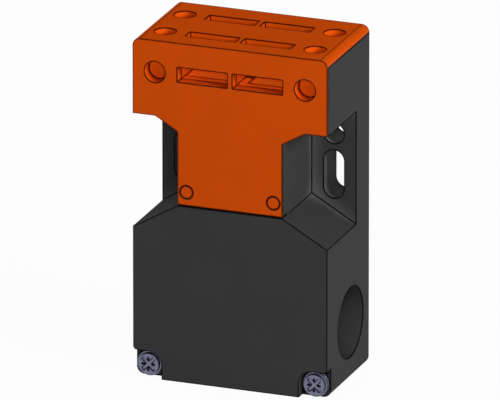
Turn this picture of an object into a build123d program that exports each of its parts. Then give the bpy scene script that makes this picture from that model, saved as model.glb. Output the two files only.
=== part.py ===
"""Position switch worked by a separate key, in a moulded case 52 mm wide, 30 mm deep and 90 mm high.

Frame: +X to the right, +Y to the back, +Z up. The origin is the middle of the base, where the switch stands.
All lengths are in millimetres. The case is a tray open to the front. Its upper part is closed by an
L-shaped cap that runs over the top and down the front, its lower part by a cover with two captive screws.
A key pushed into a pair of slots turns the rotor, and the rotor's cam lets the plunger rise, so that the
two outer contacts close and the middle one opens. Pulling the key out drives the plunger down again.
"""

from build123d import *
from math import cos, pi, radians, sin, tan
import os

# Case
width = 52.0
depth = 30.0
height = 90.0
edge_round = 2.0
crisp_round = 0.2
neck_width = 28.0
shoulder_top = 47.0
shoulder_slope = 30.0
head_height = 20.0
gusset_run = 6.0
ear_thickness = 9.2
body_wall = 3.0
cheek_wall = 2.0
back_wall = 3.0
head_floor = 2.0
guide_floor_drop = 2.2
guide_floor = 3.8
pit_room = 1.2
blind_end = 0.4

# Fixing holes in the ears, one round and one slotted on each side, placed by shares of the neck's height
mount_inset = 6.0
mount_hole = 5.4
mount_hole_share = 0.7174
mount_slot_share = 0.2478
mount_slot_span = 0.5522

# Cable entries, one in each side and one in the base
entry_bore = 18.5
entry_length = 7.2
entry_z = 15.4
entry_y = 1.8
entry_boss_wall = 1.75
entry_stop = 0.8
entry_stop_step = 1.0
entry_seal_height = 1.2
entry_seal_lip = 0.6
plug_sink = 0.4
plug_bevel = 0.5
plug_wall = 2.2
plug_face = 3.0
plug_hex = 8.0
plug_hex_depth = 1.8

# Cover and its two captive screws
cover_depth = 4.0
cover_plate = 2.4
screw_pocket = 2.8
pocket_width = 7.6
pocket_height = 7.2
pocket_corner = 3.7
pocket_mouth_round = 1.0
pocket_land = 1.4
screw_inset = 3.8
screw_z = 3.5
screw_head = 6.3
screw_washer = 6.9
screw_washer_height = 0.55
screw_head_height = 2.0
screw_head_round = 0.45
screw_shank = 3.4
screw_length = 8.0
screw_tip_bevel = 0.5
recess_depth = 1.2
recess_reach = 1.95
recess_width = 0.95
tick_width = 0.3
spigot_depth = 1.2
spigot_wall = 1.4
gasket_width = 1.6
gasket_depth = 1.0
gasket_margin = 0.7
insert_wall = 0.9
insert_length = 6.0
retainer_thickness = 0.6
retainer_wall = 0.6
rib_half = 0.5

# Cap
cap_plate = 3.0
cap_lip = 0.4
cap_edge = 2.0
leg_gap = 0.25
cap_screw_inset = 2.4
cap_screw_rise = 3.8
seal_plug = 3.4
seal_plug_height = 0.5
cap_screw_head_height = 1.2
cap_screw_shank = 2.0
cap_screw_length = 7.0
cap_screw_slot = 0.5
cap_boss = 6.0
cap_seat_wall = 0.55
cap_seat_step = 0.7

# Key slots and the round guide sockets beside them
key_slot_width = 13.3
key_slot_height = 3.8
key_rib = 1.4
key_row_front = -7.6
key_row_pitch = 13.8
key_row_drop = 8.4
socket_bore = 5.5
socket_depth = 3.0
socket_inset = 6.0
socket_wall = 1.0
socket_boss_wall = 1.5

# Rotor
wheel_inner = 2.95
wheel_outer = 13.8
hub_radius = 4.6
lobe_thickness = 1.5
lobe_end_gap = 0.15
tooth_half = 1.6
tooth_height = 2.7
cam_room = 7.0
swing_room = 0.25
shaft_radius = 2.5
shaft_flat = 0.5
shaft_step = 0.1
journal_radius = 2.0
journal_length = 3.6
bush_wall = 1.5
guide_side_wall = 3.0
guide_back_wall = 2.4
rotor_turn = 45.0
travel = 2.5
cam_radius = 6.2
cam_half_width = 2.7
nose_radius = 1.2
lobe_overrun = 8.0

# Plunger and its spring
plunger_radius = 2.8
collar_radius = 4.7
collar_height = 1.5
collar_drop = 9.0
plunger_pin_radius = 1.0
plunger_pin_length = 2.0
plunger_taper = 3.0
nose_angle = 30.0
plunger_lead = 0.5
spring_wire = 0.8
spring_radius = 3.7
spring_pitch = 1.93
seal_height = 1.5
seal_seat = 0.9
seal_radius = 5.2

# Switching element
terminal_pitch = 6.0
block_margin = 0.3
block_lift = 0.6
block_front = -9.0
block_wall = 0.8
block_cover = 1.5
block_roof_gap = 0.8
strip_thickness = 0.8
strip_gap = 0.05
strip_width = 4.0
tongue_width = 2.4
tip_radius = 1.0
tip_height = 0.6
bridge_thickness = 0.8
bridge_width = 3.0
bridge_overhang = 1.25
bridge_corner = 0.6
tongue_short = 0.3
column_half = 1.6
column_depth = 4.6
column_over_bridge = 2.8
column_room = 0.6
window_room = 0.9
beam_room = 0.2
beam_height = 2.6
contact_rise = 5.2
contact_spring_length = 3.65
contact_spring_wire = 0.4
contact_spring_radius = 1.15
contact_spring_turns = 3
cavity_front_room = 1.0
cavity_back_room = 0.3
terminal_pocket_width = 5.2
terminal_pocket_height = 8.4
terminal_z = 4.6
terminal_screw_head = 4.6
terminal_screw_head_height = 1.7
terminal_screw_shank = 3.0
terminal_slot_length = 3.6
terminal_slot_width = 0.8
terminal_slot_depth = 0.9
clamp_size = 4.8
clamp_thickness = 1.0
clamp_gap = 1.2
block_screw_drop = 2.1
block_screw_head = 4.6
block_screw_shank = 2.5
block_screw_length = 14.0
block_screw_head_height = 1.6
block_screw_sink = 2.0
driver_slot_length = 3.0
driver_slot_width = 0.7
driver_slot_depth = 0.8
block_boss = 5.6
tower_radius = 4.4
tower_share = 0.291
crossbar_height = 6.0
crossbar_depth = 3.8

# Clearances
running_gap = 0.06
sliding_gap = 0.05
loose_gap = 0.15
seat_gap = 0.1
screw_seat_gap = 0.05
rest_gap = 0.02
thread_gap = 0.1
cam_gap = 0.08
contact_gap = 0.05
bore_gap = 0.02
pin_gap = 0.03
side_room = 0.3
pin_room = 0.4

# Places that follow from the sizes above
front = -depth / 2
back = depth / 2
side = width / 2
neck = neck_width / 2
head_bottom = height - head_height
neck_height = head_bottom - shoulder_top
mount_x = side - mount_inset
mount_hole_z = shoulder_top + mount_hole_share * neck_height
mount_slot_z = shoulder_top + mount_slot_share * neck_height
mount_slot_length = mount_slot_span * neck_height
screw_x = side - screw_inset
cap_screw_x = neck - cap_screw_inset
cap_screw_z = shoulder_top + cap_screw_rise
socket_x = side - socket_inset
guide_floor_top = head_bottom - guide_floor_drop
ear_front = back - ear_thickness
lip_back = front + cap_lip
plate_back = front + cap_plate
cover_back = front + cover_depth
rim_front = cover_back + seat_gap
pocket_floor = front + screw_pocket
chamber_back = back - back_wall
cheek_top = height - cap_edge
rotor_y = key_row_front + key_row_pitch / 2
key_row_z = height - key_row_drop
rotor_z = key_row_z - key_row_pitch / 2
shoulder_foot = shoulder_top - (side - neck) * tan(radians(shoulder_slope))
gusset_bottom = head_bottom - gusset_run * tan(radians(shoulder_slope))
leg_bottom = shoulder_top + leg_gap
head_floor_top = head_bottom + head_floor
plunger_tip = rotor_z - cam_radius - cam_gap
channel_top = guide_floor_top - guide_floor
slots_half = key_slot_width + key_rib / 2
guide_half = slots_half + guide_side_wall
bush_radius = journal_radius + running_gap + bush_wall
way_floor = key_row_z - key_slot_height / 2
lobe_top = way_floor - seat_gap - rotor_z
lobe_reach = (key_row_pitch + key_slot_height) / 2 - lobe_end_gap
swing_radius = (lobe_reach**2 + lobe_top**2) ** 0.5 + swing_room
entry_boss = entry_bore / 2 + entry_boss_wall

# Levels of the switching element, from its base upwards
block_base = entry_z + entry_boss + block_lift
block_half = 3 * terminal_pitch + block_margin
chamber_roof = shoulder_top - body_wall / cos(radians(shoulder_slope))
block_top = chamber_roof - block_roof_gap / 2
beam_base = block_base + block_wall + beam_room
beam_top = beam_base + beam_height
make_tongue = beam_top + travel + 0.5
make_tip = make_tongue + strip_thickness + tip_height
make_bridge = make_tip + contact_gap + tip_height
make_window_top = make_bridge + bridge_thickness + contact_spring_length
break_tongue = make_tongue + contact_rise
break_tip = break_tongue - tip_height
break_bridge = break_tip - travel - contact_gap - tip_height - bridge_thickness
break_window_base = break_bridge - contact_spring_length
cavity_front = rotor_y - column_depth / 2 - cavity_front_room
cavity_back = rotor_y + column_depth / 2 + cavity_back_room
strip_front = cavity_front - strip_thickness - 0.6
collar_base = plunger_tip - collar_drop - collar_height
tower_top = block_top + tower_share * (collar_base - block_top)
plunger_base = block_top + block_roof_gap / 2
block_screw_x = terminal_pitch
block_screw_z = block_top - block_screw_drop
pair_centres = (-2 * terminal_pitch, 0.0, 2 * terminal_pitch)


def front_slab(outline, near, far):
    """A shape drawn as seen from the front, in x and z, made solid from y = near to y = far."""
    return extrude(Plane.XZ.offset(-far) * outline, amount=far - near)


def side_slab(outline, left, right):
    """A shape drawn as seen from the side, in y and z, made solid from x = left to x = right."""
    return extrude(Plane.YZ.offset(left) * outline, amount=right - left)


def block(x0, x1, y0, y1, z0, z1):
    """A box between two corners."""
    return Pos((x0 + x1) / 2, (y0 + y1) / 2, (z0 + z1) / 2) * Box(x1 - x0, y1 - y0, z1 - z0)


def rod_x(radius, x0, x1, y, z):
    """A round bar along X."""
    return side_slab(Pos(y, z) * Circle(radius), x0, x1)


def rod_y(radius, x, y0, y1, z):
    """A round bar along Y."""
    return front_slab(Pos(x, z) * Circle(radius), y0, y1)


def rod_z(radius, x, y, z0, z1):
    """A round bar along Z."""
    return Pos(x, y, (z0 + z1) / 2) * Cylinder(radius, z1 - z0)


def symmetric(points):
    """A closed outline from its right-hand points, listed from the bottom up, mirrored to the left."""
    mirrored = [(-x, z) for x, z in reversed(points)]
    return Polygon(*points, *mirrored, align=None)


def both_sides(make):
    """The same piece made at the left and at the right."""
    return make(-1), make(1)


def envelope():
    """The rounded block that the whole case stays within."""
    drawn = Pos(0, height / 2) * RectangleRounded(width, height, edge_round)
    return front_slab(drawn, front, back)


def corners(solid, x, z):
    """Edges along Y at the given distance each side of the middle and at height z."""
    near = solid.edges().filter_by(Axis.Y)
    return [e for e in near if abs(abs(e.center().X) - x) < 0.01 and abs(e.center().Z - z) < 0.01]


# Outlines seen from the front
def lower_outline():
    """The lower body: square base, sides, and shoulders that slope up to the neck."""
    return symmetric([(side, 0), (side, shoulder_foot), (neck, shoulder_top)])


def waisted_outline():
    """The whole case in front of the ears, with its shoulders, its neck and the gussets under its head."""
    return symmetric(
        [
            (side, 0),
            (side, shoulder_foot),
            (neck, shoulder_top),
            (neck, gusset_bottom),
            (neck + gusset_run, head_bottom),
            (side, head_bottom),
            (side, cheek_top),
        ]
    )


def cap_outline():
    """The front of the cap: a T whose arms are joined to its leg by sloping gussets."""
    return symmetric(
        [
            (neck, leg_bottom),
            (neck, gusset_bottom),
            (neck + gusset_run, head_bottom),
            (side, head_bottom),
            (side, height),
        ]
    )


def chamber_outline(grow=0.0):
    """The mouth of the wiring chamber, with its lower corners stepped in beside the cover screws."""
    wide = side - body_wall
    narrow = side - pocket_width - pocket_land
    step_z = pocket_height + pocket_land
    roof_x = neck - body_wall * tan(radians(shoulder_slope / 2))
    shoulder_z = chamber_roof - (wide - roof_x) * tan(radians(shoulder_slope))
    drawn = symmetric(
        [
            (narrow, body_wall),
            (narrow, step_z),
            (wide, step_z),
            (wide, shoulder_z),
            (roof_x, chamber_roof),
        ]
    )
    if grow == 0:
        return drawn
    return offset(drawn, amount=grow, kind=Kind.INTERSECTION)


def key_slots():
    """The pair of key slots, centred on the middle of the case."""
    offset_x = (key_slot_width + key_rib) / 2
    drawn = Rectangle(key_slot_width, key_slot_height)
    return Pos(-offset_x, 0) * drawn + Pos(offset_x, 0) * drawn


# Case
def entry_bores():
    """The round way in of each cable entry, with the narrower stop at its inner end."""
    bore = entry_bore / 2
    stop = bore - entry_stop_step
    inner = entry_length + entry_stop + 1
    cut = rod_x(bore, side - entry_length, side + 1, entry_y, entry_z)
    cut += rod_x(bore, -side - 1, -side + entry_length, entry_y, entry_z)
    cut += rod_x(stop, side - inner, side, entry_y, entry_z)
    cut += rod_x(stop, -side, -side + inner, entry_y, entry_z)
    cut += rod_z(bore, 0, entry_y, -1, entry_length)
    return cut + rod_z(stop, 0, entry_y, 0, inner)


def entry_bosses():
    """The thick round seat inside the wall of each cable entry."""
    reach = entry_length + entry_stop
    made = rod_x(entry_boss, side - reach, side - 1, entry_y, entry_z)
    made += rod_x(entry_boss, -side + 1, -side + reach, entry_y, entry_z)
    return made + rod_z(entry_boss, 0, entry_y, 1, reach)


def make_housing():
    """The tray: back wall with its two ears, lower body, neck and head, hollowed from the front."""
    wide = Pos(0, cheek_top / 2) * Rectangle(width, cheek_top)
    solid = front_slab(waisted_outline(), lip_back, back)
    solid += front_slab(wide, ear_front, back)
    solid &= envelope()
    solid -= block(-side - 1, side + 1, front - 1, rim_front, -1, shoulder_top + leg_gap)

    chamber = front_slab(chamber_outline(), rim_front - 1, chamber_back)
    chamber -= entry_bosses()
    neck_in = neck - cheek_wall
    crossbar_top = leg_bottom + crossbar_height / 2
    crossbar_back = rim_front + crossbar_depth
    chamber += block(-neck_in, neck_in, crossbar_back, chamber_back, chamber_roof - 1, crossbar_top)
    chamber += block(-neck_in, neck_in, plate_back, chamber_back, crossbar_top, channel_top)
    solid -= chamber

    head_in = side - cheek_wall
    solid -= block(-neck_in, neck_in, lip_back - 1, plate_back, leg_bottom - 1, channel_top)
    solid -= block(-head_in, head_in, lip_back - 1, chamber_back, head_floor_top, height)
    solid -= front_slab(core_outline(0), lip_back - 1, plate_back)
    pit_front = key_row_front - key_slot_height / 2 - pit_room
    pit_back = key_row_front + key_row_pitch + key_slot_height / 2 + pit_room
    pit_half = slots_half + pit_room
    solid -= block(-pit_half, pit_half, pit_front, pit_back, guide_floor_top, height)
    solid -= rod_x(bush_radius, -guide_half, guide_half, rotor_y, rotor_z)
    solid -= rod_z(plunger_radius + sliding_gap, 0, rotor_y, channel_top - 1, guide_floor_top + 1)
    solid -= rod_z(seal_radius, 0, rotor_y, channel_top - 1, channel_top + seal_seat)

    for hand in (-1, 1):
        boss = rod_y(cap_boss / 2, hand * cap_screw_x, plate_back, chamber_back, cap_screw_z)
        boss &= block(-neck, neck, plate_back, chamber_back, 0, height)
        solid += boss
        hole = cap_screw_shank / 2 + thread_gap
        solid -= rod_y(hole, hand * cap_screw_x, plate_back - 1, plate_back + cap_screw_length, cap_screw_z)
        post_front = cavity_back + block_cover
        solid += rod_y(block_boss / 2, hand * block_screw_x, post_front, chamber_back + 1, block_screw_z)
        post_hole = block_screw_shank / 2 + thread_gap
        solid -= rod_y(post_hole, hand * block_screw_x, post_front - 1, chamber_back - 1, block_screw_z)
        insert_r = screw_shank / 2 + thread_gap + insert_wall
        insert_end = max(rim_front + insert_length, pocket_floor + screw_length) + blind_end
        solid -= rod_y(insert_r, hand * screw_x, rim_front - 1, insert_end, screw_z)
        solid -= rod_y(mount_hole / 2, hand * mount_x, ear_front - 1, back + 1, mount_hole_z)
        slot = Rot(0, 0, 90) * SlotOverall(mount_slot_length, mount_hole)
        placed = Pos(hand * mount_x, mount_slot_z) * slot
        solid -= front_slab(placed, ear_front - 1, back + 1)
    return solid - entry_bores()


def core_outline(gap):
    """The thick middle of the cap's front, which drops in between the walls of the head and the neck."""
    head_in = side - cheek_wall - gap
    leg_in = neck - cheek_wall - gap
    floor = head_floor_top + gap
    drawn = symmetric([(leg_in, leg_bottom), (leg_in, floor), (head_in, floor), (head_in, cheek_top + 1)])
    seat = neck - cap_seat_wall - gap
    half = cap_boss / 2 - cap_seat_step - gap
    ears = Pos(0, cap_screw_z) * Rectangle(2 * seat, 2 * half)
    return drawn + ears


# Cap
def make_cap():
    """The cap: a thin T-shaped lip over the case's edges, its thicker core, and the top plate."""
    solid = front_slab(cap_outline(), front, lip_back)
    solid += block(-side, side, front, back, cheek_top, height)
    solid &= envelope()
    rim = solid.faces().sort_by(Axis.Y)[0].outer_wire().edges()
    solid = fillet(rim, crisp_round)
    core = front_slab(core_outline(seat_gap), lip_back, plate_back)
    core -= block(-side, side, front, back, cheek_top, height + 2)
    head_in = side - cheek_wall - seat_gap
    solid += core
    solid += block(-head_in, head_in, lip_back, chamber_back - seat_gap, height - cap_plate, cheek_top)

    boss = socket_bore / 2 + socket_boss_wall
    inner = socket_depth + socket_wall
    rows = (key_row_front, key_row_front + key_row_pitch)
    for hand in (-1, 1):
        x = hand * socket_x
        pads = rod_y(boss, x, lip_back, front + inner, key_row_z)
        for row in rows:
            pads += rod_z(boss, x, row, height - inner, cheek_top)
        reach = sorted((hand * (guide_half + seat_gap), hand * head_in))
        room = block(*reach, lip_back, chamber_back - seat_gap, head_floor_top + seat_gap, cheek_top)
        solid += pads & room
    for hand in (-1, 1):
        x = hand * socket_x
        solid -= rod_y(socket_bore / 2, x, front - 1, front + socket_depth, key_row_z)
        for row in rows:
            solid -= rod_z(socket_bore / 2, x, row, height - socket_depth, height + 1)
        x = hand * cap_screw_x
        head_end = front + seal_plug_height + cap_screw_head_height
        solid -= rod_y(seal_plug / 2 + seat_gap / 2, x, front - 1, head_end, cap_screw_z)
        solid -= rod_y(cap_screw_shank / 2 + seat_gap, x, front, plate_back + 1, cap_screw_z)
    solid -= front_slab(Pos(0, key_row_z) * key_slots(), front - 1, plate_back + 1)
    for row in rows:
        solid -= extrude(Pos(0, row, height + 1) * key_slots(), amount=-(cap_plate + 2))
    return solid


def make_key_guide():
    """The block under the cap that carries the key ways on past the rotor and holds its bushes."""
    half, outer = slots_half, guide_half
    first = plate_back + seat_gap
    last = key_row_front + key_row_pitch + key_slot_height / 2 + guide_back_wall
    top = height - cap_plate - seat_gap
    solid = block(-outer, outer, first, last, head_floor_top, top)
    inner = wheel_inner - seat_gap
    rooms = ((swing_radius, -half, -inner), (cam_room, -inner, inner), (swing_radius, inner, half))
    for room, x0, x1 in rooms:
        solid -= rod_x(room, x0, x1, rotor_y, rotor_z)
        solid -= block(x0, x1, rotor_y - room, rotor_y + room, head_floor_top - 1, rotor_z)
    way_end = key_row_front + key_row_pitch + key_slot_height / 2
    solid -= front_slab(Pos(0, key_row_z) * key_slots(), first - 1, way_end)
    for row in (key_row_front, key_row_front + key_row_pitch):
        solid -= extrude(Pos(0, row, top + 1) * key_slots(), amount=-(top + 1 - way_floor))
    return solid - rod_x(bush_radius, -outer - 1, outer + 1, rotor_y, rotor_z)


def make_bush(hand):
    """A plain bush for one end of the rotor shaft."""
    bore = journal_radius + running_gap
    ends = sorted((hand * (slots_half + seat_gap), hand * guide_half))
    ring = rod_x(bush_radius, *ends, rotor_y, rotor_z)
    return ring - rod_x(bore, ends[0] - 1, ends[1] + 1, rotor_y, rotor_z)


def make_cap_screws():
    """Two small screws through the foot of the cap's leg."""
    head_start = front + seal_plug_height
    head_end = head_start + cap_screw_head_height
    made = []
    for hand in (-1, 1):
        x = hand * cap_screw_x
        screw = rod_y(seal_plug / 2 - seat_gap, x, head_start, head_end, cap_screw_z)
        screw += rod_y(cap_screw_shank / 2, x, head_end, head_end + cap_screw_length, cap_screw_z)
        slot = Pos(x, cap_screw_z) * Rectangle(2 * seal_plug, cap_screw_slot)
        made.append(screw - front_slab(slot, head_start, head_start + cap_screw_slot))
    return Compound(children=made)


def make_seal_plugs():
    """Two flush plugs that hide the cap screws."""
    end = front + seal_plug_height
    made = both_sides(lambda hand: rod_y(seal_plug / 2, hand * cap_screw_x, front, end, cap_screw_z))
    return Compound(children=list(made))


# Cover
def pocket_outline(hand):
    """The corner cut away round one screw head, rounded like the head."""
    half_w = (pocket_width + 1) / 2
    half_h = (pocket_height + 1) / 2
    cut = Rectangle(pocket_width + 1, pocket_height + 1)
    inner = [v for v in cut.vertices() if v.Y > 0 and hand * v.X < 0]
    cut = fillet(inner, pocket_corner)
    return Pos(hand * (side + 1 - half_w), half_h - 1) * cut


def make_cover():
    """The cover: a shallow tray with a rim, a spigot that drops into the chamber, and two screw ears."""
    solid = front_slab(lower_outline(), front, cover_back) & envelope()
    for hand in (-1, 1):
        solid -= front_slab(pocket_outline(hand), front - 1, pocket_floor)
    mouth = [e for e in corners(solid, side, pocket_height) if e.length > screw_pocket * 0.9]
    solid = fillet(mouth, pocket_mouth_round)
    rim = solid.faces().filter_by(Plane.XZ).sort_by(Axis.Y)[0].outer_wire().edges()
    solid = fillet(rim, crisp_round)
    solid += front_slab(chamber_outline(-loose_gap), cover_back, cover_back + spigot_depth)
    inside = chamber_outline(-loose_gap - spigot_wall)
    solid -= front_slab(inside, front + cover_plate, cover_back + spigot_depth + 1)
    for x in (-1, 0, 1):
        rib_x = x * terminal_pitch * 2
        rib = block(rib_x - rib_half, rib_x + rib_half, front, cover_back, body_wall, chamber_roof)
        solid += rib & front_slab(inside, front, cover_back)
    solid -= gasket_ring(gasket_margin, gasket_width, seat_gap / 2)
    for hand in (-1, 1):
        hole = screw_shank / 2 + loose_gap
        solid -= rod_y(hole, hand * screw_x, front, cover_back + 1, screw_z)
        relief = screw_shank / 2 + retainer_wall + loose_gap
        start = cover_back - retainer_thickness - seat_gap
        solid -= rod_y(relief, hand * screw_x, start, cover_back + 1, screw_z)
    return solid


def gasket_ring(margin, ring_width, gap):
    """A ring that follows the chamber's mouth, margin outside it, at the back of the cover's rim."""
    outer = chamber_outline(margin + ring_width + gap)
    inner = chamber_outline(margin - gap)
    return front_slab(outer - inner, cover_back - gasket_depth - gap, cover_back)


def make_gasket():
    """The rubber gasket in the groove of the cover's rim."""
    return gasket_ring(gasket_margin, gasket_width, 0)


def make_retainers():
    """The rings that keep the cover screws from falling out of the cover."""
    made = []
    for hand in (-1, 1):
        start = cover_back - retainer_thickness - sliding_gap
        end = cover_back - sliding_gap
        ring = rod_y(screw_shank / 2 + retainer_wall, hand * screw_x, start, end, screw_z)
        made.append(ring - rod_y(screw_shank / 2 + running_gap, hand * screw_x, start - 1, end + 1, screw_z))
    return Compound(children=made)


def make_cover_screw(hand):
    """A cover screw: rounded head on a washer face, with a cross recess and four ticks between its arms."""
    seat = pocket_floor - screw_seat_gap
    face = seat - screw_head_height
    x = hand * screw_x
    head = rod_y(screw_head / 2, x, face, seat, screw_z)
    head = fillet(head.edges().sort_by(Axis.Y)[0], screw_head_round)
    head += rod_y(screw_washer / 2, x, seat - screw_washer_height, seat, screw_z)
    shank = rod_y(screw_shank / 2, x, seat, seat + screw_length, screw_z)
    shank = chamfer(shank.edges().sort_by(Axis.Y)[-1], screw_tip_bevel)
    bar = SlotOverall(2 * recess_reach, recess_width)
    cross = Rot(0, 0, 45) * bar + Rot(0, 0, -45) * bar
    recess = front_slab(Pos(x, screw_z) * cross, face - 1, face + recess_depth)
    tick = Rectangle(2 * recess_reach, tick_width)
    ticks = tick + Rot(0, 0, 90) * tick
    recess += front_slab(Pos(x, screw_z) * ticks, face - 1, face + tick_width)
    return head + shank - recess


def make_inserts():
    """The two threaded inserts that the cover screws hold in."""
    made = []
    bore = screw_shank / 2 + thread_gap
    for hand in (-1, 1):
        x = hand * screw_x
        tube = rod_y(bore + insert_wall - rest_gap, x, rim_front, rim_front + insert_length, screw_z)
        made.append(tube - rod_y(bore, x, rim_front - 1, rim_front + insert_length + 1, screw_z))
    return Compound(children=made)


def entry_plug():
    """A blanking plug, drawn with the entry's mouth at z = 0 and the plug's body upwards."""
    end = entry_length - entry_seal_height - rest_gap
    body = rod_z(entry_bore / 2 - thread_gap, 0, 0, plug_sink, end)
    body = chamfer(body.edges().sort_by(Axis.Z)[0], plug_bevel)
    body -= rod_z(entry_bore / 2 - plug_wall, 0, 0, plug_sink + plug_face, end + 1)
    socket = RegularPolygon(plug_hex / 2, 6, major_radius=False)
    return body - extrude(socket, amount=plug_sink + plug_hex_depth)


def entry_seal():
    """The seal ring between a blanking plug and the stop of its entry, drawn as the plug is."""
    start = entry_length - entry_seal_height
    end = entry_length - rest_gap
    ring = rod_z(entry_bore / 2 - thread_gap, 0, 0, start, end)
    return ring - rod_z(entry_bore / 2 - entry_stop_step - entry_seal_lip, 0, 0, start - 1, end + 1)


def at_left_entry(piece):
    """Puts a piece drawn at the base entry's axis into the left-hand entry."""
    return Pos(-side, entry_y, entry_z) * Rot(0, 90, 0) * piece


def at_base_entry(piece):
    """Puts a piece drawn at the origin into the base entry."""
    return Pos(0, entry_y, 0) * piece


# Rotor
def make_shaft():
    """The rotor shaft, stepped down to a journal at each end."""
    shoulder = wheel_outer + shaft_step
    solid = rod_x(shaft_radius, -shoulder, shoulder, rotor_y, rotor_z)
    solid += rod_x(journal_radius, -shoulder - journal_length, shoulder + journal_length, rotor_y, rotor_z)
    return solid - above_flat(-shoulder, shoulder, 0)


def above_flat(x0, x1, gap):
    """The room over the flat along the top of the shaft."""
    wide = 2 * shaft_radius
    flat = rotor_z + shaft_radius - shaft_flat + gap
    return block(x0, x1, rotor_y - wide, rotor_y + wide, flat, rotor_z + wide)


def shaft_bore(x0, x1):
    """The D-shaped hole that fits the shaft."""
    hole = rod_x(shaft_radius + bore_gap, x0 - 1, x1 + 1, rotor_y, rotor_z)
    return hole - above_flat(x0 - 2, x1 + 2, bore_gap)


def make_wheel(hand):
    """A key wheel: a lobe to the front and one to the back, flush with the floor of the front key way, and a
    tooth between them. A key from the front pushes the tooth, and one from above pushes a lobe down."""
    x0, x1 = sorted((hand * wheel_inner, hand * wheel_outer))
    root = lobe_top - lobe_thickness
    drawn = Circle(hub_radius)
    drawn += symmetric([(hub_radius, 0), (lobe_reach, root), (lobe_reach, lobe_top), (tooth_half, lobe_top)])
    drawn += Pos(0, lobe_top) * Rectangle(2 * tooth_half, 2 * tooth_height)
    solid = side_slab(Pos(rotor_y, rotor_z) * drawn, x0, x1)
    return solid - shaft_bore(x0, x1)


def cam_centre(angle):
    """Where the plunger's round nose has its centre for a cam turned by angle, seen from the cam."""
    reach = cam_radius + nose_radius - travel * abs(angle) / rotor_turn
    turned = radians(angle)
    return reach * sin(turned), -reach * cos(turned)


def cam_edge(angle):
    """The point of the cam that touches the nose: one nose radius from its centre, square to its path."""
    y0, z0 = cam_centre(angle - 0.01)
    y1, z1 = cam_centre(angle + 0.01)
    along_y, along_z = y1 - y0, z1 - z0
    size = (along_y**2 + along_z**2) ** 0.5
    y, z = cam_centre(angle)
    return y - nose_radius * along_z / size, z + nose_radius * along_y / size


def make_cam():
    """The cam between the wheels: a lobe that falls away evenly with the turn on either side."""
    last = rotor_turn + lobe_overrun
    right = [cam_edge(2.0)] + [cam_edge(last * n / 6) for n in range(1, 7)]
    left = [(-y, z) for y, z in reversed(right)]
    root = (right[-1][0] ** 2 + right[-1][1] ** 2) ** 0.5
    crown = ThreePointArc(left[-1], (0, -cam_radius), right[0])
    outline = crown + Spline(*right) + ThreePointArc(right[-1], (0, root), left[0]) + Spline(*left)
    drawn = make_face(outline)
    solid = side_slab(Pos(rotor_y, rotor_z) * drawn, -cam_half_width, cam_half_width)
    return solid - shaft_bore(-cam_half_width, cam_half_width)


# Plunger
def make_plunger():
    """The push rod: rounded nose for the cam, a collar that the spring pushes up, and a pin below."""
    base = plunger_base
    solid = rod_z(plunger_radius, 0, rotor_y, base, plunger_tip)
    taper = plunger_radius + plunger_lead
    nose_half = nose_radius * cos(radians(nose_angle))
    nose_z = plunger_tip - nose_radius * (1 - sin(radians(nose_angle)))
    nose = Polygon(
        (-taper, base - 1),
        (taper, base - 1),
        (taper, plunger_tip - plunger_taper),
        (nose_half, nose_z),
        (-nose_half, nose_z),
        (-taper, plunger_tip - plunger_taper),
        align=None,
    )
    nose += Pos(0, plunger_tip - nose_radius) * Circle(nose_radius)
    solid &= side_slab(Pos(rotor_y, 0) * nose, -plunger_radius - 1, plunger_radius + 1)
    solid += rod_z(collar_radius, 0, rotor_y, collar_base, collar_base + collar_height)
    return solid + rod_z(plunger_pin_radius, 0, rotor_y, base - plunger_pin_length, base)


def coil(radius, wire, base, top, turns):
    """A compression spring of round wire between two levels, centred on the origin's axis."""
    rise = top - base - wire
    path = Pos(0, 0, base + wire / 2) * Helix(rise / turns, rise, radius)
    section = Plane(origin=path @ 0, z_dir=path % 0) * Circle(wire / 2)
    return sweep(section, path=path, is_frenet=True)


def make_plunger_spring():
    """The spring that holds the plunger up against the cam."""
    base, top = tower_top + rest_gap, collar_base - rest_gap
    turns = (top - base - spring_wire) / spring_pitch
    return Pos(0, rotor_y, 0) * coil(spring_radius, spring_wire, base, top, turns)


def make_plunger_seal():
    """The lip ring that keeps dirt from the key ways out of the wiring chamber."""
    top = channel_top + seal_seat - rest_gap
    ring = rod_z(seal_radius - sliding_gap, 0, rotor_y, top - seal_height, top)
    return ring - rod_z(plunger_radius + loose_gap, 0, rotor_y, top - seal_height - 1, top + 1)


# Switching element
def block_outline(gap=0.0):
    """The switching element's case, which follows the shoulders of the lower body."""
    roof_x = neck - body_wall * tan(radians(shoulder_slope / 2)) - gap
    slope = tan(radians(shoulder_slope))
    shoulder = block_top - (block_half - roof_x) * slope
    return symmetric([(block_half, block_base), (block_half, shoulder), (roof_x, block_top)])


def terminals():
    """The middle of each terminal, from left to right."""
    return [(n - 2.5) * terminal_pitch for n in range(6)]


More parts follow.
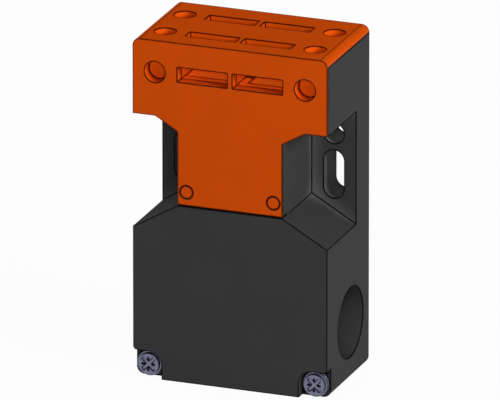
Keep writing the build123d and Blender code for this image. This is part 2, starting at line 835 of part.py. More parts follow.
def make_block():
    """The case of the switching element, with terminal pockets in front and the contact room behind."""
    solid = front_slab(block_outline(), block_front, cavity_back)
    solid += rod_z(tower_radius, 0, rotor_y, block_top, tower_top)
    reach = terminal_pitch / 2 + bridge_overhang + side_room
    floor = block_base + block_wall
    half = column_half + loose_gap
    for centre in pair_centres:
        tongue, bridge_rest = (make_tongue, make_bridge) if centre == 0 else (break_tongue, break_bridge)
        room_top = max(tongue + strip_thickness, bridge_rest + bridge_thickness + travel) + seat_gap
        solid -= block(centre - reach, centre + reach, cavity_front, cavity_back + 1, floor, room_top)
        lift_top = block_top if centre == 0 else break_bridge + column_over_bridge + travel + column_room
        solid -= block(centre - half, centre + half, cavity_front, cavity_back + 1, room_top - 1, lift_top)
    beam_end = pair_centres[-1] + column_half + side_room
    solid -= block(-beam_end, beam_end, cavity_front, cavity_back + 1, floor, make_tongue - beam_room)
    solid -= rod_z(plunger_radius + sliding_gap, 0, rotor_y, block_top - 1, tower_top + 1)
    for n, x in enumerate(terminals()):
        half = terminal_pocket_width / 2
        pocket_top = floor + terminal_pocket_height
        solid -= block(x - half, x + half, block_front - 1, strip_front, block_base - 1, pocket_top)
        half = strip_width / 2 + strip_gap
        strip_top = (make_tongue if n in (2, 3) else break_tongue) + strip_thickness + strip_gap
        solid -= block(x - half, x + half, strip_front - 0.01, cavity_front + 1, floor, strip_top)
        shank = terminal_screw_shank / 2 + loose_gap
        solid -= rod_y(shank, x, strip_front - 1, cavity_front + 1, block_base + terminal_z)
    for hand in (-1, 1):
        x = hand * block_screw_x
        solid -= rod_y(block_screw_shank / 2 + loose_gap, x, block_front - 1, cavity_back + 1, block_screw_z)
        seat = block_front + block_screw_sink
        solid -= rod_y(block_screw_head / 2 + loose_gap, x, block_front - 1, seat, block_screw_z)
    return solid


def make_block_cover():
    """The plate that closes the contact room at the back."""
    end = cavity_back + block_cover - seat_gap
    solid = front_slab(block_outline(), cavity_back + rest_gap, end)
    for hand in (-1, 1):
        hole = block_screw_shank / 2 + loose_gap
        solid -= rod_y(hole, hand * block_screw_x, cavity_back - 1, end + 1, block_screw_z)
    return solid


def make_block_screws():
    """Two screws that hold the switching element to the posts on the back wall."""
    made = []
    for hand in (-1, 1):
        x = hand * block_screw_x
        seat = block_front + block_screw_sink
        face = seat - block_screw_head_height
        screw = rod_y(block_screw_head / 2, x, face, seat, block_screw_z)
        screw += rod_y(block_screw_shank / 2, x, seat, seat + block_screw_length, block_screw_z)
        bar = Pos(x, block_screw_z) * SlotOverall(driver_slot_length, driver_slot_width)
        made.append(screw - front_slab(bar, face - 1, face + driver_slot_depth))
    return Compound(children=made)


def contact_strip(x, centre, tongue_base):
    """One fixed contact: an upright strip behind the terminal, bent back to a tongue beside the carrier."""
    inward = 1 if centre > x else -1
    half = strip_width / 2
    base = block_base + block_wall + strip_gap
    top = tongue_base + strip_thickness
    upright = block(x - half, x + half, strip_front, strip_front + strip_thickness, base, top)
    tip_x = centre - inward * terminal_pitch / 2
    half = tongue_width / 2
    reach = rotor_y + bridge_width / 2 - tongue_short
    tongue = block(tip_x - half, tip_x + half, strip_front, reach, tongue_base, top)
    shank = terminal_screw_shank / 2 + thread_gap
    hole = rod_y(shank, x, strip_front - 1, strip_front + strip_thickness + 1, block_base + terminal_z)
    return upright + tongue - hole


def make_fixed_contacts(centre):
    """The two fixed contacts of one pair, above the bridge for the outer pairs and below it in the middle."""
    tongue_base = make_tongue if centre == 0 else break_tongue
    made = [contact_strip(centre + hand * terminal_pitch / 2, centre, tongue_base) for hand in (-1, 1)]
    return Compound(children=made)


def make_fixed_tips():
    """Silver tips on all six fixed contacts."""
    made = []
    for centre in pair_centres:
        for hand in (-1, 1):
            x = centre + hand * terminal_pitch / 2
            base = make_tongue + strip_thickness if centre == 0 else break_tip
            made.append(rod_z(tip_radius, x, rotor_y, base, base + tip_height))
    return Compound(children=made)


def make_bridge_piece(centre):
    """The moving bridge of one pair, with a silver tip at each end."""
    base = make_bridge if centre == 0 else break_bridge
    half = terminal_pitch / 2 + bridge_overhang
    bar = Pos(centre, rotor_y) * RectangleRounded(2 * half, bridge_width, bridge_corner)
    solid = extrude(Pos(0, 0, base) * bar, amount=bridge_thickness)
    tip_base = base - tip_height if centre == 0 else base + bridge_thickness
    for hand in (-1, 1):
        x = centre + hand * terminal_pitch / 2
        solid += rod_z(tip_radius, x, rotor_y, tip_base, tip_base + tip_height)
    return solid


def make_carrier():
    """The moving carrier: a beam with three columns, each with a window for a bridge and its spring."""
    y0 = rotor_y - column_depth / 2
    y1 = rotor_y + column_depth / 2
    end = pair_centres[-1] + column_half
    solid = block(-end, end, y0, y1, beam_base, beam_top)
    window_half = bridge_width / 2 + seat_gap
    for centre in pair_centres:
        if centre == 0:
            column_top = plunger_base - contact_gap
            low, high = make_bridge - tip_height - beam_room, make_window_top
        else:
            column_top = break_bridge + column_over_bridge
            low, high = break_window_base, break_bridge + bridge_thickness + window_room
        x0, x1 = centre - column_half, centre + column_half
        solid += block(x0, x1, y0, y1, beam_base, column_top)
        solid -= block(x0 - 1, x1 + 1, rotor_y - window_half, rotor_y + window_half, low, high)
    pin_end = plunger_base - plunger_pin_length
    return solid - rod_z(plunger_pin_radius + pin_gap, 0, rotor_y, pin_end - pin_room, plunger_base)


def make_contact_springs():
    """The three springs that press the bridges on to the fixed contacts."""
    made = []
    for centre in pair_centres:
        if centre == 0:
            low, high = make_bridge + bridge_thickness, make_window_top
        else:
            low, high = break_window_base, break_bridge
        low, high = low + rest_gap, high - rest_gap
        spring = coil(contact_spring_radius, contact_spring_wire, low, high, contact_spring_turns)
        made.append(Pos(centre, rotor_y, 0) * spring)
    return Compound(children=made)


def make_clamps():
    """The square wire clamps under the heads of the terminal screws."""
    start = strip_front - clamp_gap - clamp_thickness
    z = block_base + terminal_z
    made = []
    for x in terminals():
        half = clamp_size / 2
        plate = block(x - half, x + half, start, start + clamp_thickness, z - half, z + half)
        hole = terminal_screw_shank / 2 + seat_gap
        made.append(plate - rod_y(hole, x, start - 1, start + clamp_thickness + 1, z))
    return Compound(children=made)


def make_terminal_screws():
    """Six terminal screws with cross-slotted heads."""
    seat = strip_front - clamp_gap - clamp_thickness - rest_gap
    z = block_base + terminal_z
    made = []
    for x in terminals():
        face = seat - terminal_screw_head_height
        head = rod_y(terminal_screw_head / 2, x, face, seat, z)
        shank = rod_y(terminal_screw_shank / 2, x, seat, cavity_front - seat_gap, z)
        bar = SlotOverall(terminal_slot_length, terminal_slot_width)
        cross = Pos(x, z) * (bar + Rot(0, 0, 90) * bar)
        made.append(head + shank - front_slab(cross, face - 1, face + terminal_slot_depth))
    return Compound(children=made)


def all_parts():
    """Every piece of the switch by its name."""
    parts = {
        "housing": make_housing(),
        "actuator_head_cap": make_cap(),
        "key_guide_block": make_key_guide(),
        "rotor_bush_left": make_bush(-1),
        "rotor_bush_right": make_bush(1),
        "cap_screws": make_cap_screws(),
        "cap_screw_plugs": make_seal_plugs(),
        "terminal_cover": make_cover(),
        "cover_gasket": make_gasket(),
        "cover_screw_retainers": make_retainers(),
        "cover_screw_left": make_cover_screw(-1),
        "cover_screw_right": make_cover_screw(1),
        "cover_screw_inserts": make_inserts(),
        "blanking_plug_left": at_left_entry(entry_plug()),
        "blanking_plug_base": at_base_entry(entry_plug()),
        "blanking_plug_seals": Compound(children=[at_left_entry(entry_seal()), at_base_entry(entry_seal())]),
        "rotor_shaft": make_shaft(),
        "rotor_wheel_left": make_wheel(-1),
        "rotor_wheel_right": make_wheel(1),
        "rotor_cam": make_cam(),
        "plunger": make_plunger(),
        "plunger_spring": make_plunger_spring(),
        "plunger_seal": make_plunger_seal(),
        "contact_block": make_block(),
        "contact_block_cover": make_block_cover(),
        "contact_block_screws": make_block_screws(),
        "contact_carrier": make_carrier(),
        "contact_springs": make_contact_springs(),
        "fixed_contact_tips": make_fixed_tips(),
        "terminal_clamps": make_clamps(),
        "terminal_screws": make_terminal_screws(),
    }
    for name, centre in zip(("break_left", "make_middle", "break_right"), pair_centres):
        parts["fixed_contacts_" + name] = make_fixed_contacts(centre)
        parts["contact_bridge_" + name] = make_bridge_piece(centre)
    return parts


os.makedirs("parts", exist_ok=True)
for name, shape in all_parts().items():
    export_step(shape, "parts/" + name + ".step")
print("rotor axis y, z:", round(rotor_y, 3), round(rotor_z, 3))
print("plunger rises", travel, "mm while the rotor turns", rotor_turn, "degrees")
print("metres per radian:", round(travel / 1000 / (rotor_turn * pi / 180), 7))
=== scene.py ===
"""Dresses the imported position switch: its moulded, plated and turned surfaces, its cover screws with their
recesses and threads, and the plain studio in which it is seen. Everything is in metres, in the frame of the
part."""

from math import cos, pi, radians, sin

import bpy
import numpy as np
from bpy.props import FloatProperty, FloatVectorProperty, IntProperty, PointerProperty
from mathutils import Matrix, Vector


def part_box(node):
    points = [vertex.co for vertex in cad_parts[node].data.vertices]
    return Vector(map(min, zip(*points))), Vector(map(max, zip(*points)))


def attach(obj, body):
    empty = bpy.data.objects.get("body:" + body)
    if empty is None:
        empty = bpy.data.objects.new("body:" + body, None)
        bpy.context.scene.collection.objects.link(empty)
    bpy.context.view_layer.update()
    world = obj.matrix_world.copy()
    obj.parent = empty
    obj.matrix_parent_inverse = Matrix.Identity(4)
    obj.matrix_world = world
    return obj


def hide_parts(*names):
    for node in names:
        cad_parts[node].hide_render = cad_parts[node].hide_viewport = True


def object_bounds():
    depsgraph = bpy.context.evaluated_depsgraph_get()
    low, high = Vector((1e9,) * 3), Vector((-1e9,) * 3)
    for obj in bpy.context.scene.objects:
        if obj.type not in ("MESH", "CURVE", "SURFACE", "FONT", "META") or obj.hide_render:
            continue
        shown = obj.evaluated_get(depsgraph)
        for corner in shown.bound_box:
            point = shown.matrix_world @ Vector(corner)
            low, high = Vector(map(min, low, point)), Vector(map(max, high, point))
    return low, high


bl_info = {
    "name": "Position switch",
    "version": (1, 0, 0),
    "blender": (4, 5, 0),
    "location": "3D View > Sidebar > Position switch",
    "description": "Surfaces, screws and studio for a key-operated safety position switch",
    "category": "Object",
}

MM = 0.001
IMAGE_WIDTH = 500
# Rows of points across a screw's flat, round each of its edges and along its shank
FLAT_ROWS = 64
ARC_ROWS = 9
SHANK_ROWS = 130
# Radius of the first ring of points on a screw's face
EYE = 0.04 * MM
# Width over which a recess's wall slopes
SOFT_WALL = 0.09 * MM
# Depth of the cover's side wall, and radius of the cap's rounded corners
COVER_SIDE = 4 * MM
CAP_ROUNDING = 2 * MM
# Half the width of the plain zone along a flush joint, and of the line beside a rounded corner
JOINT_ZONE = 0.45 * MM
ROUNDING_LINE = 0.1 * MM
# Width of the clouds that the melt's flow leaves, and depth of the mould's pits and of a metal's marks
CLOUD_SIZE = 14 * MM
PIT_DEPTH = 0.02 * MM
SCRATCH_DEPTH = 0.01 * MM
# The dark tone of the painted shade in a screw's grooves and of the painted outline along its edges
PAINTED_GROOVE_SHADE = "2A2A36"
# Half the side of the floor, in metres, and the gap that keeps it clear of the switch's base
FLOOR_REACH = 3.0
FLOOR_GAP = 0.02 * MM

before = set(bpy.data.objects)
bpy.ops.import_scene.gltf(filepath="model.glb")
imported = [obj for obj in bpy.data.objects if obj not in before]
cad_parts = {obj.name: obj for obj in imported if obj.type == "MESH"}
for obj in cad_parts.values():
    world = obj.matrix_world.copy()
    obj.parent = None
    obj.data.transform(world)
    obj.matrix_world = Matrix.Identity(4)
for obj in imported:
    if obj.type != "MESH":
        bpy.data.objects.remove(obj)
cad_box = [list(corner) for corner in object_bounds()]


def linear(hex_colour):
    """An sRGB hex colour as linear red, green, blue and alpha."""
    parts = [int(hex_colour[n : n + 2], 16) / 255 for n in (0, 2, 4)]
    return tuple(c / 12.92 if c <= 0.04045 else ((c + 0.055) / 1.055) ** 2.4 for c in parts) + (1.0,)


def colour(name, hex_colour, description):
    """A colour property with the given default."""
    default = linear(hex_colour)
    return FloatVectorProperty(
        name=name, description=description, default=default, subtype="COLOR", size=4, min=0, max=1
    )


def length(name, millimetres, description):
    """A length property with the given default."""
    default = millimetres * MM
    return FloatProperty(name=name, description=description, default=default, unit="LENGTH", precision=5)


def power(name, watts, description):
    """A lamp power property with the given default."""
    return FloatProperty(name=name, description=description, default=watts, unit="POWER")


def angle(name, degrees, description):
    """An angle property with the given default."""
    return FloatProperty(name=name, description=description, default=radians(degrees), subtype="ANGLE")


class SwitchFinish(bpy.types.PropertyGroup):
    """Colours and grain of the switch's surfaces."""

    case: colour("Case", "323232", "Dark grey of the housing and the cover")
    # Painted shade: the case's dark tone painted in its corners, gaps and grooves, and as a dark outline
    # along its edges
    case_painted_edge_shade: colour("Case edges", "040404", "Tone that collects along the case's edges")
    cap: colour("Cap", "B54100", "Orange of the actuator head")
    # Painted shade: the cap's dark tone painted in its corners, gaps and grooves, and as a dark outline
    # along its edges
    cap_painted_edge_shade: colour("Cap edges", "3C0E00", "Tone that collects along the cap's edges")
    guide: colour("Key guide", "C45C14", "Lighter orange of the pieces that the key slides on")
    screw: colour("Cover screws", "7E7F96", "Blue passivated zinc")
    grain: length("Mould grain", 0.35, "Size of the grain that the mould leaves on the plastic")
    edge: length("Edge width", 0.35, "How far in from an edge its darker tone reaches")
    # Painted light: within the hollow width, each material's colour is made paler in its hollows by its
    # gain, to lift the shade there
    hollow: length("Hollow width", 8, "Width of the hollows that look paler inside")
    case_painted_light_gain: FloatProperty(name="Case bloom", description="How much paler its hollows are", default=3.8)
    cap_painted_light_gain: FloatProperty(name="Cap bloom", description="How much paler its hollows are", default=1.55)
    guide_painted_light_gain: FloatProperty(name="Guide bloom", description="How much paler its hollows are", default=2.7)


class ScrewSizes(bpy.types.PropertyGroup):
    """Sizes of the cover screws, with the recess and the thread that the solids leave out."""

    face_radius: length("Face radius", 2.8, "Radius of the raised disc in front of the head")
    raised: length("Raised height", 0.85, "How far the disc stands in front of the head's rim")
    head: length("Head", 3.3, "Radius of the head's rim in front of its washer face")
    washer: length("Washer face", 0.55, "Thickness of the washer face behind the head")
    seat: length("Seat", 2.0, "From the disc's face to the back of the washer face")
    shank: length("Shank", 1.7, "Radius over the thread")
    run_out: length("Run-out", 0.6, "Length and depth of the taper at the tip")
    notch: length("Notch", 0.1, "Size of the small bevel where the head meets its washer face")
    arm_width: length("Arm width", 1.0, "Width of the recess's arms")
    arm_length: length("Arm length", 2.3, "Reach of the recess's arms from the axis")
    recess: length("Recess depth", 0.4, "Depth of the recess's arms")
    wedge_width: length("Wedge width", 0.5, "Width of the wedges between the arms")
    wedge_start: length("Wedge start", 0.65, "Distance of the wedges from the axis")
    wedge_end: length("Wedge end", 1.75, "Reach of the wedges from the axis")
    wedge: length("Wedge depth", 0.8, "Depth of the wedges")
    rounding: length("Rounding", 0.1, "Radius of the disc's edge and of the rim's edge")
    line: length("Line width", 0.14, "Width of the darker line along edges and grooves")
    pitch: length("Pitch", 0.7, "Pitch of the thread on the shank")
    thread: length("Thread depth", 0.28, "How deep the thread is cut")
    thread_start: length("Thread start", 0.8, "From the seat to where the thread begins to deepen")
    thread_full: length("Thread full", 1.4, "From the seat to where the thread has its whole depth")
    around: IntProperty(name="Points around", description="Points round each ring", default=168, min=24)


class StudioSettings(bpy.types.PropertyGroup):
    """Where the camera stands and how strong the lamps are."""

    azimuth: angle("Azimuth", 20.67, "Turn of the camera to the right")
    elevation: angle("Elevation", 19.484, "Height of the camera above level")
    distance: length("Distance", 4560, "From the camera to the middle of the switch")
    pixels_per_mm: FloatProperty(name="Scale", description="Pixels to a millimetre", default=3.9904)
    aim_right: length("Aim right", -0.244, "How far right of the switch's middle the camera aims")
    aim_up: length("Aim up", 0.236, "How far above the switch's middle the camera aims")
    key: power("Right lamp", 9.8, "Power of the lamp at the right")
    front: power("Front lamp", 4.6, "Power of the lamp in front")
    top: power("Top lamp", 1.5, "Power of the lamp overhead")
    back: power("Back lamp", 13, "Power of the lamp behind")
    left: power("Left lamp", 11, "Power of the lamp at the left")
    sky: FloatProperty(name="Sky", description="Strength of the even light all round", default=0.05)


# Mesh
def closed_mesh(name, grid, start, end):
    """A mesh from a grid of points (rows, columns, 3) whose columns close on themselves and whose first and
    last rows close on the points start and end."""
    rows, columns = grid.shape[:2]
    index = np.arange(rows * columns).reshape(rows, columns)
    beside = np.roll(index, -1, axis=1)
    quads = np.stack([index[:-1], index[1:], beside[1:], beside[:-1]], axis=-1).reshape(-1, 4)
    first = np.stack([index[0], beside[0], np.full(columns, rows * columns)], axis=-1)
    final = np.stack([beside[-1], index[-1], np.full(columns, rows * columns + 1)], axis=-1)
    points = np.vstack([grid.reshape(-1, 3), start, end])
    corners = np.concatenate([quads.ravel(), first.ravel(), final.ravel()]).astype(np.int32)
    sizes = np.concatenate([np.full(len(quads), 4), np.full(2 * columns, 3)])
    starts = np.concatenate([[0], np.cumsum(sizes)[:-1]]).astype(np.int32)
    mesh = bpy.data.meshes.new(name)
    mesh.vertices.add(len(points))
    mesh.vertices.foreach_set("co", points.ravel())
    mesh.loops.add(len(corners))
    mesh.loops.foreach_set("vertex_index", corners)
    mesh.polygons.add(len(sizes))
    mesh.polygons.foreach_set("loop_start", starts)
    mesh.polygons.foreach_set("use_smooth", np.ones(len(sizes), bool))
    mesh.update(calc_edges=True)
    mesh.validate()
    return mesh


def place(name, mesh, body, material):
    """Puts a finished mesh into the scene as a piece that rides on a body."""
    piece = bpy.data.objects.new(name, mesh)
    bpy.context.scene.collection.objects.link(piece)
    mesh.materials.append(material)
    mesh.set_sharp_from_angle(angle=radians(40))
    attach(piece, body)
    return piece


def ramp(start, end, value):
    """0 before start, 1 after end, and a straight rise between."""
    return np.clip((value - start) / (end - start), 0, 1)


def recess_depth(sizes, right, up):
    """Depth of the drive recess under the head's flat. Two bars with round ends cross on the diagonals:
    a point is in a bar where it is nearer than half the bar's width to the bar's middle line. Between them
    lie four deeper wedges, bounded by two distances from the axis and a width."""
    diagonal = np.sqrt(0.5)
    half = sizes.arm_width / 2
    depth = np.zeros_like(right)
    rising, falling = (right + up) * diagonal, (up - right) * diagonal
    for along, across in ((rising, falling), (falling, rising)):
        past = np.maximum(np.abs(along) - (sizes.arm_length - half), 0)
        depth = np.maximum(depth, sizes.recess * ramp(0, SOFT_WALL, half - np.hypot(past, across)))
    for along, across in ((np.abs(right), up), (np.abs(up), right)):
        side = ramp(0, SOFT_WALL, sizes.wedge_width / 2 - np.abs(across))
        ends = ramp(0, SOFT_WALL, sizes.wedge_end - along) * ramp(0, SOFT_WALL, along - sizes.wedge_start)
        depth = np.maximum(depth, side * ends * sizes.wedge)
    return depth


def thread_wave(along, turn, pitch):
    """A rounded V thread: a cosine of the distance along the axis, shifted by one pitch in each turn."""
    return 0.5 + 0.5 * np.cos(2 * pi * (along / pitch - turn / (2 * pi)))


def screw_mesh(name, sizes):
    """A cover screw as a profile turned round its axis, from the middle of the face to the tip. The face
    sinks by the recess depth, a step leads from the raised disc to the rim, each edge is a quarter circle,
    a wider washer face follows, and the shank's radius follows the thread."""
    low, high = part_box(name)
    middle = (low + high) / 2
    flange = (high.x - low.x) / 2
    face, tip = low.y, high.y
    step = sizes.seat - sizes.washer
    turn = np.linspace(0, 2 * pi, sizes.around, endpoint=False)

    flat = np.linspace(EYE, sizes.face_radius - sizes.rounding, FLAT_ROWS)
    arc = np.linspace(0, pi / 2, ARC_ROWS)[1:]
    edge_r, edge_y = -sizes.rounding * (1 - np.sin(arc)), sizes.rounding * (1 - np.cos(arc))
    arc_r = np.concatenate([sizes.face_radius + edge_r, [sizes.face_radius], sizes.head + edge_r])
    arc_y = np.concatenate([edge_y, [sizes.raised], sizes.raised + edge_y])
    side_r = np.array([sizes.head, sizes.head, flange, flange, flange, sizes.shank])
    side_r -= sizes.notch * np.array([0, 1, 1, 0, 0, 0])
    side_y = np.array([step, step, step, step, sizes.seat, sizes.seat])
    side_y += sizes.notch * np.array([-1, 0, 0, 1, 0, 0])
    shank_y = np.linspace(sizes.seat, tip - face - sizes.run_out, SHANK_ROWS)
    shank_r = np.full(SHANK_ROWS, sizes.shank)
    radius = np.concatenate([flat, arc_r, side_r, shank_r, [sizes.shank - sizes.run_out]])
    depth = np.concatenate([0 * flat, arc_y, side_y, shank_y, [tip - face]])

    radius, depth = (np.repeat(v[:, None], sizes.around, axis=1) for v in (radius, depth))
    depth += recess_depth(sizes, radius * np.cos(turn), radius * np.sin(turn)) * (depth == 0)
    cut = ramp(sizes.seat + sizes.thread_start, sizes.seat + sizes.thread_full, depth)
    cut *= radius <= sizes.shank
    radius = radius - cut * sizes.thread * thread_wave(depth, turn, sizes.pitch)
    right, up = radius * np.cos(turn), radius * np.sin(turn)
    grid = np.stack([middle.x + right, face + depth, middle.z + up], axis=-1)
    start = (middle.x, face + sizes.recess, middle.z)
    return closed_mesh(name + "_turned", grid, start, (middle.x, tip, middle.z))


# Materials
def add(tree, kind, inputs=None, **settings):
    """Adds a node with its settings, and joins or sets each named input."""
    node = tree.nodes.new(kind)
    for key, value in settings.items():
        setattr(node, key, value)
    for key, value in (inputs or {}).items():
        if isinstance(value, bpy.types.NodeSocket):
            tree.links.new(value, node.inputs[key])
        else:
            node.inputs[key].default_value = value
    return node


def new_material(name):
    """An empty node material with its output and one principled shader."""
    material = bpy.data.materials.new(name)
    material.use_nodes = True
    tree = material.node_tree
    tree.nodes.clear()
    shader = add(tree, "ShaderNodeBsdfPrincipled")
    add(tree, "ShaderNodeOutputMaterial", {"Surface": shader.outputs["BSDF"]})
    return material, tree, shader


def painted_edge_shade_mask(tree, reach):
    """1 on an edge or in a corner and 0 on a face, for painted shade and a painted dark outline: how much of
    the near surroundings, on the outside or within the material, another face takes up. It starts where 3 %
    is taken up and is full at 13 %."""
    outside = add(tree, "ShaderNodeAmbientOcclusion", {"Distance": reach}, samples=8)
    within = add(
        tree, "ShaderNodeAmbientOcclusion", {"Distance": reach}, samples=8, inside=True, only_local=True
    )
    open_part = add(
        tree, "ShaderNodeMath", {0: outside.outputs["AO"], 1: within.outputs["AO"]}, operation="MINIMUM"
    )
    taken_up = {"Value": open_part.outputs[0], "From Min": 0.97, "From Max": 0.87}
    return add(tree, "ShaderNodeMapRange", taken_up).outputs["Result"]


def moulded(
    name,
    tone,
    painted_edge_shade_tone,
    finish,
    roughness,
    specular,
    painted_light_gain=1.0,
    rounding_x=None,
    joint_y=None,
    alone=False,
):
    """A plastic from a spark-eroded mould. The mould's fine pits leave a matt grain, the melt's flow leaves
    faint broad clouds, painted shade darkens its corners, gaps and grooves, and a painted dark outline runs
    along its edges. Its hollows are painted paler, as painted light that lifts the shade in them. Where
    rounding_x is given, a line also marks where the rounded corners of the top begin, that far to each side
    of the middle. Where joint_y is given, the edges at that depth stay plain, because two pieces lie flush
    there. Where alone is true, only the piece's own walls make a hollow, and not the floor that it stands
    on."""
    material, tree, shader = new_material(name)
    place_on = add(tree, "ShaderNodeTexCoord").outputs["Object"]
    clouds = add(tree, "ShaderNodeTexNoise", {"Vector": place_on, "Scale": 1 / CLOUD_SIZE, "Detail": 2.0})
    # Drawn about four times coarser than the real spark grain, which is finer than a pixel
    grain = add(tree, "ShaderNodeTexNoise", {"Vector": place_on, "Scale": 1 / finish.grain, "Detail": 3.0})
    darker = tuple(0.9 * c for c in tone[:3]) + (1.0,)
    lighter = tuple(min(1.0, 1.08 * c) for c in tone[:3]) + (1.0,)
    mixed = add(tree, "ShaderNodeMix", {0: clouds.outputs["Fac"], 6: darker, 7: lighter}, data_type="RGBA")
    # Painted light: where nearby walls shut out light, the colour is made paler by up to the gain, to lift
    # the shade that falls in hollows
    hollow = add(
        tree, "ShaderNodeAmbientOcclusion", {"Distance": finish.hollow}, samples=8, only_local=alone
    )
    painted_light = add(
        tree,
        "ShaderNodeMapRange",
        {"Value": hollow.outputs["AO"], "From Min": 0.15, "From Max": 0.75, "To Min": painted_light_gain},
    ).outputs["Result"]
    mixed = add(tree, "ShaderNodeVectorMath", {0: mixed.outputs[2], "Scale": painted_light}, operation="SCALE")
    # Painted shade in corners, in gaps between parts and in grooves, and a painted dark outline along edges,
    # in the edge tone
    mask = painted_edge_shade_mask(tree, finish.edge)
    axes = add(tree, "ShaderNodeSeparateXYZ", {0: place_on}).outputs
    if joint_y:
        near = add(tree, "ShaderNodeMath", {0: axes["Y"], 1: joint_y, 2: JOINT_ZONE}, operation="COMPARE")
        away = add(tree, "ShaderNodeMath", {0: 1.0, 1: near.outputs[0]}, operation="SUBTRACT").outputs[0]
        mask = add(tree, "ShaderNodeMath", {0: mask, 1: away}, operation="MULTIPLY").outputs[0]
    if rounding_x:
        aside = add(tree, "ShaderNodeMath", {0: axes["X"]}, operation="ABSOLUTE").outputs[0]
        line = add(tree, "ShaderNodeMath", {0: aside, 1: rounding_x, 2: ROUNDING_LINE}, operation="COMPARE")
        under_top = cad_box[1][2] - ROUNDING_LINE
        on_top = add(tree, "ShaderNodeMath", {0: axes["Z"], 1: under_top}, operation="GREATER_THAN")
        line = add(tree, "ShaderNodeMath", {0: line.outputs[0], 1: on_top.outputs[0]}, operation="MULTIPLY")
        mask = add(tree, "ShaderNodeMath", {0: mask, 1: line.outputs[0]}, operation="MAXIMUM").outputs[0]
    edged = add(
        tree, "ShaderNodeMix", {0: mask, 6: mixed.outputs[0], 7: tuple(painted_edge_shade_tone)}, data_type="RGBA"
    )
    rough = add(
        tree,
        "ShaderNodeMapRange",
        {"Value": grain.outputs["Fac"], "To Min": roughness - 0.06, "To Max": roughness + 0.06},
    )
    bump = add(
        tree, "ShaderNodeBump", {"Strength": 0.25, "Distance": PIT_DEPTH, "Height": grain.outputs["Fac"]}
    )
    shader.inputs["Specular IOR Level"].default_value = specular
    tree.links.new(edged.outputs[2], shader.inputs["Base Color"])
    tree.links.new(rough.outputs["Result"], shader.inputs["Roughness"])
    tree.links.new(bump.outputs["Normal"], shader.inputs["Normal"])
    return material


def metal(name, tone, roughness, patch, streak=None, line=None):
    """A bare or plated metal. Patches of slightly different tone lie over it, and where streak is given,
    fine lines that far apart run round the tool's path. Where line is given, painted shade darkens the
    grooves and a painted dark outline runs along the edges, that wide."""
    material, tree, shader = new_material(name)
    place_on = add(tree, "ShaderNodeTexCoord").outputs["Object"]
    patches = add(tree, "ShaderNodeTexNoise", {"Vector": place_on, "Scale": 1 / patch, "Detail": 4.0})
    darker = tuple(0.78 * c for c in tone[:3]) + (1.0,)
    mixed = add(
        tree, "ShaderNodeMix", {0: patches.outputs["Fac"], 6: darker, 7: tuple(tone)}, data_type="RGBA"
    )
    # Painted shade in grooves and a painted dark outline along edges, in the groove tone
    if line:
        mixed = add(
            tree,
            "ShaderNodeMix",
            {0: painted_edge_shade_mask(tree, line), 6: mixed.outputs[2], 7: linear(PAINTED_GROOVE_SHADE)},
            data_type="RGBA",
        )
    rough = add(
        tree,
        "ShaderNodeMapRange",
        {"Value": patches.outputs["Fac"], "To Min": roughness + 0.1, "To Max": roughness - 0.08},
    )
    height = patches.outputs["Fac"]
    if streak:
        squeeze = add(tree, "ShaderNodeMapping", {"Vector": place_on, "Scale": (0.05, 1.0, 0.05)})
        squeezed = squeeze.outputs["Vector"]
        lines = add(tree, "ShaderNodeTexNoise", {"Vector": squeezed, "Scale": 1 / streak, "Detail": 1.0})
        height = lines.outputs["Fac"]
    bump = add(tree, "ShaderNodeBump", {"Strength": 0.2, "Distance": SCRATCH_DEPTH, "Height": height})
    shader.inputs["Metallic"].default_value = 1.0
    tree.links.new(mixed.outputs[2], shader.inputs["Base Color"])
    tree.links.new(rough.outputs["Result"], shader.inputs["Roughness"])
    tree.links.new(bump.outputs["Normal"], shader.inputs["Normal"])
    return material


def dress(material, *names):
    """Gives CAD nodes their material."""
    for name in names:
        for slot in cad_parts[name].material_slots:
            slot.material = material


class SWITCH_OT_case(bpy.types.Operator):
    """Finishes the moulded case: housing, cover, head cap, key guide and plugs"""

    bl_idname = "switch.case"
    bl_label = "Case"

    def execute(self, context):
        finish = context.scene.switch_finish
        # Each moulding gets painted light that makes its hollows paler, and painted shade in its corners and
        # along its edges
        # Glass-filled polyester, moulded: matt dark grey with a fine grain
        joint_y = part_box("terminal_cover")[0].y + COVER_SIDE
        case = moulded(
            "moulded_glass_filled_polyester",
            finish.case,
            finish.case_painted_edge_shade,
            finish,
            roughness=0.8,
            specular=0.05,
            painted_light_gain=finish.case_painted_light_gain,
            joint_y=joint_y,
            alone=True,
        )
        # Unfilled polyester in signal orange, moulded in the same kind of mould: even, a little smoother
        cap = moulded(
            "moulded_orange_polyester",
            finish.cap,
            finish.cap_painted_edge_shade,
            finish,
            roughness=0.6,
            specular=0.05,
            painted_light_gain=finish.cap_painted_light_gain,
            rounding_x=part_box("actuator_head_cap")[1].x - CAP_ROUNDING,
        )
        # Acetal, moulded: a lighter and slicker orange than the cap's, seen through the slots
        guide = moulded(
            "moulded_orange_acetal",
            finish.guide,
            finish.cap,
            finish,
            roughness=0.5,
            specular=0.1,
            painted_light_gain=finish.guide_painted_light_gain,
        )
        # Polyamide plugs, moulded in a polished mould: black, with a soft gloss
        plug = moulded("moulded_black_polyamide", linear("181818"), linear("080808"), finish, 0.4, 0.4)
        dress(case, "housing", "terminal_cover")
        dress(cap, "actuator_head_cap", "cap_screw_plugs")
        dress(guide, "key_guide_block", "rotor_wheel_left", "rotor_wheel_right")
        dress(plug, "blanking_plug_left", "blanking_plug_base")
        return {"FINISHED"}


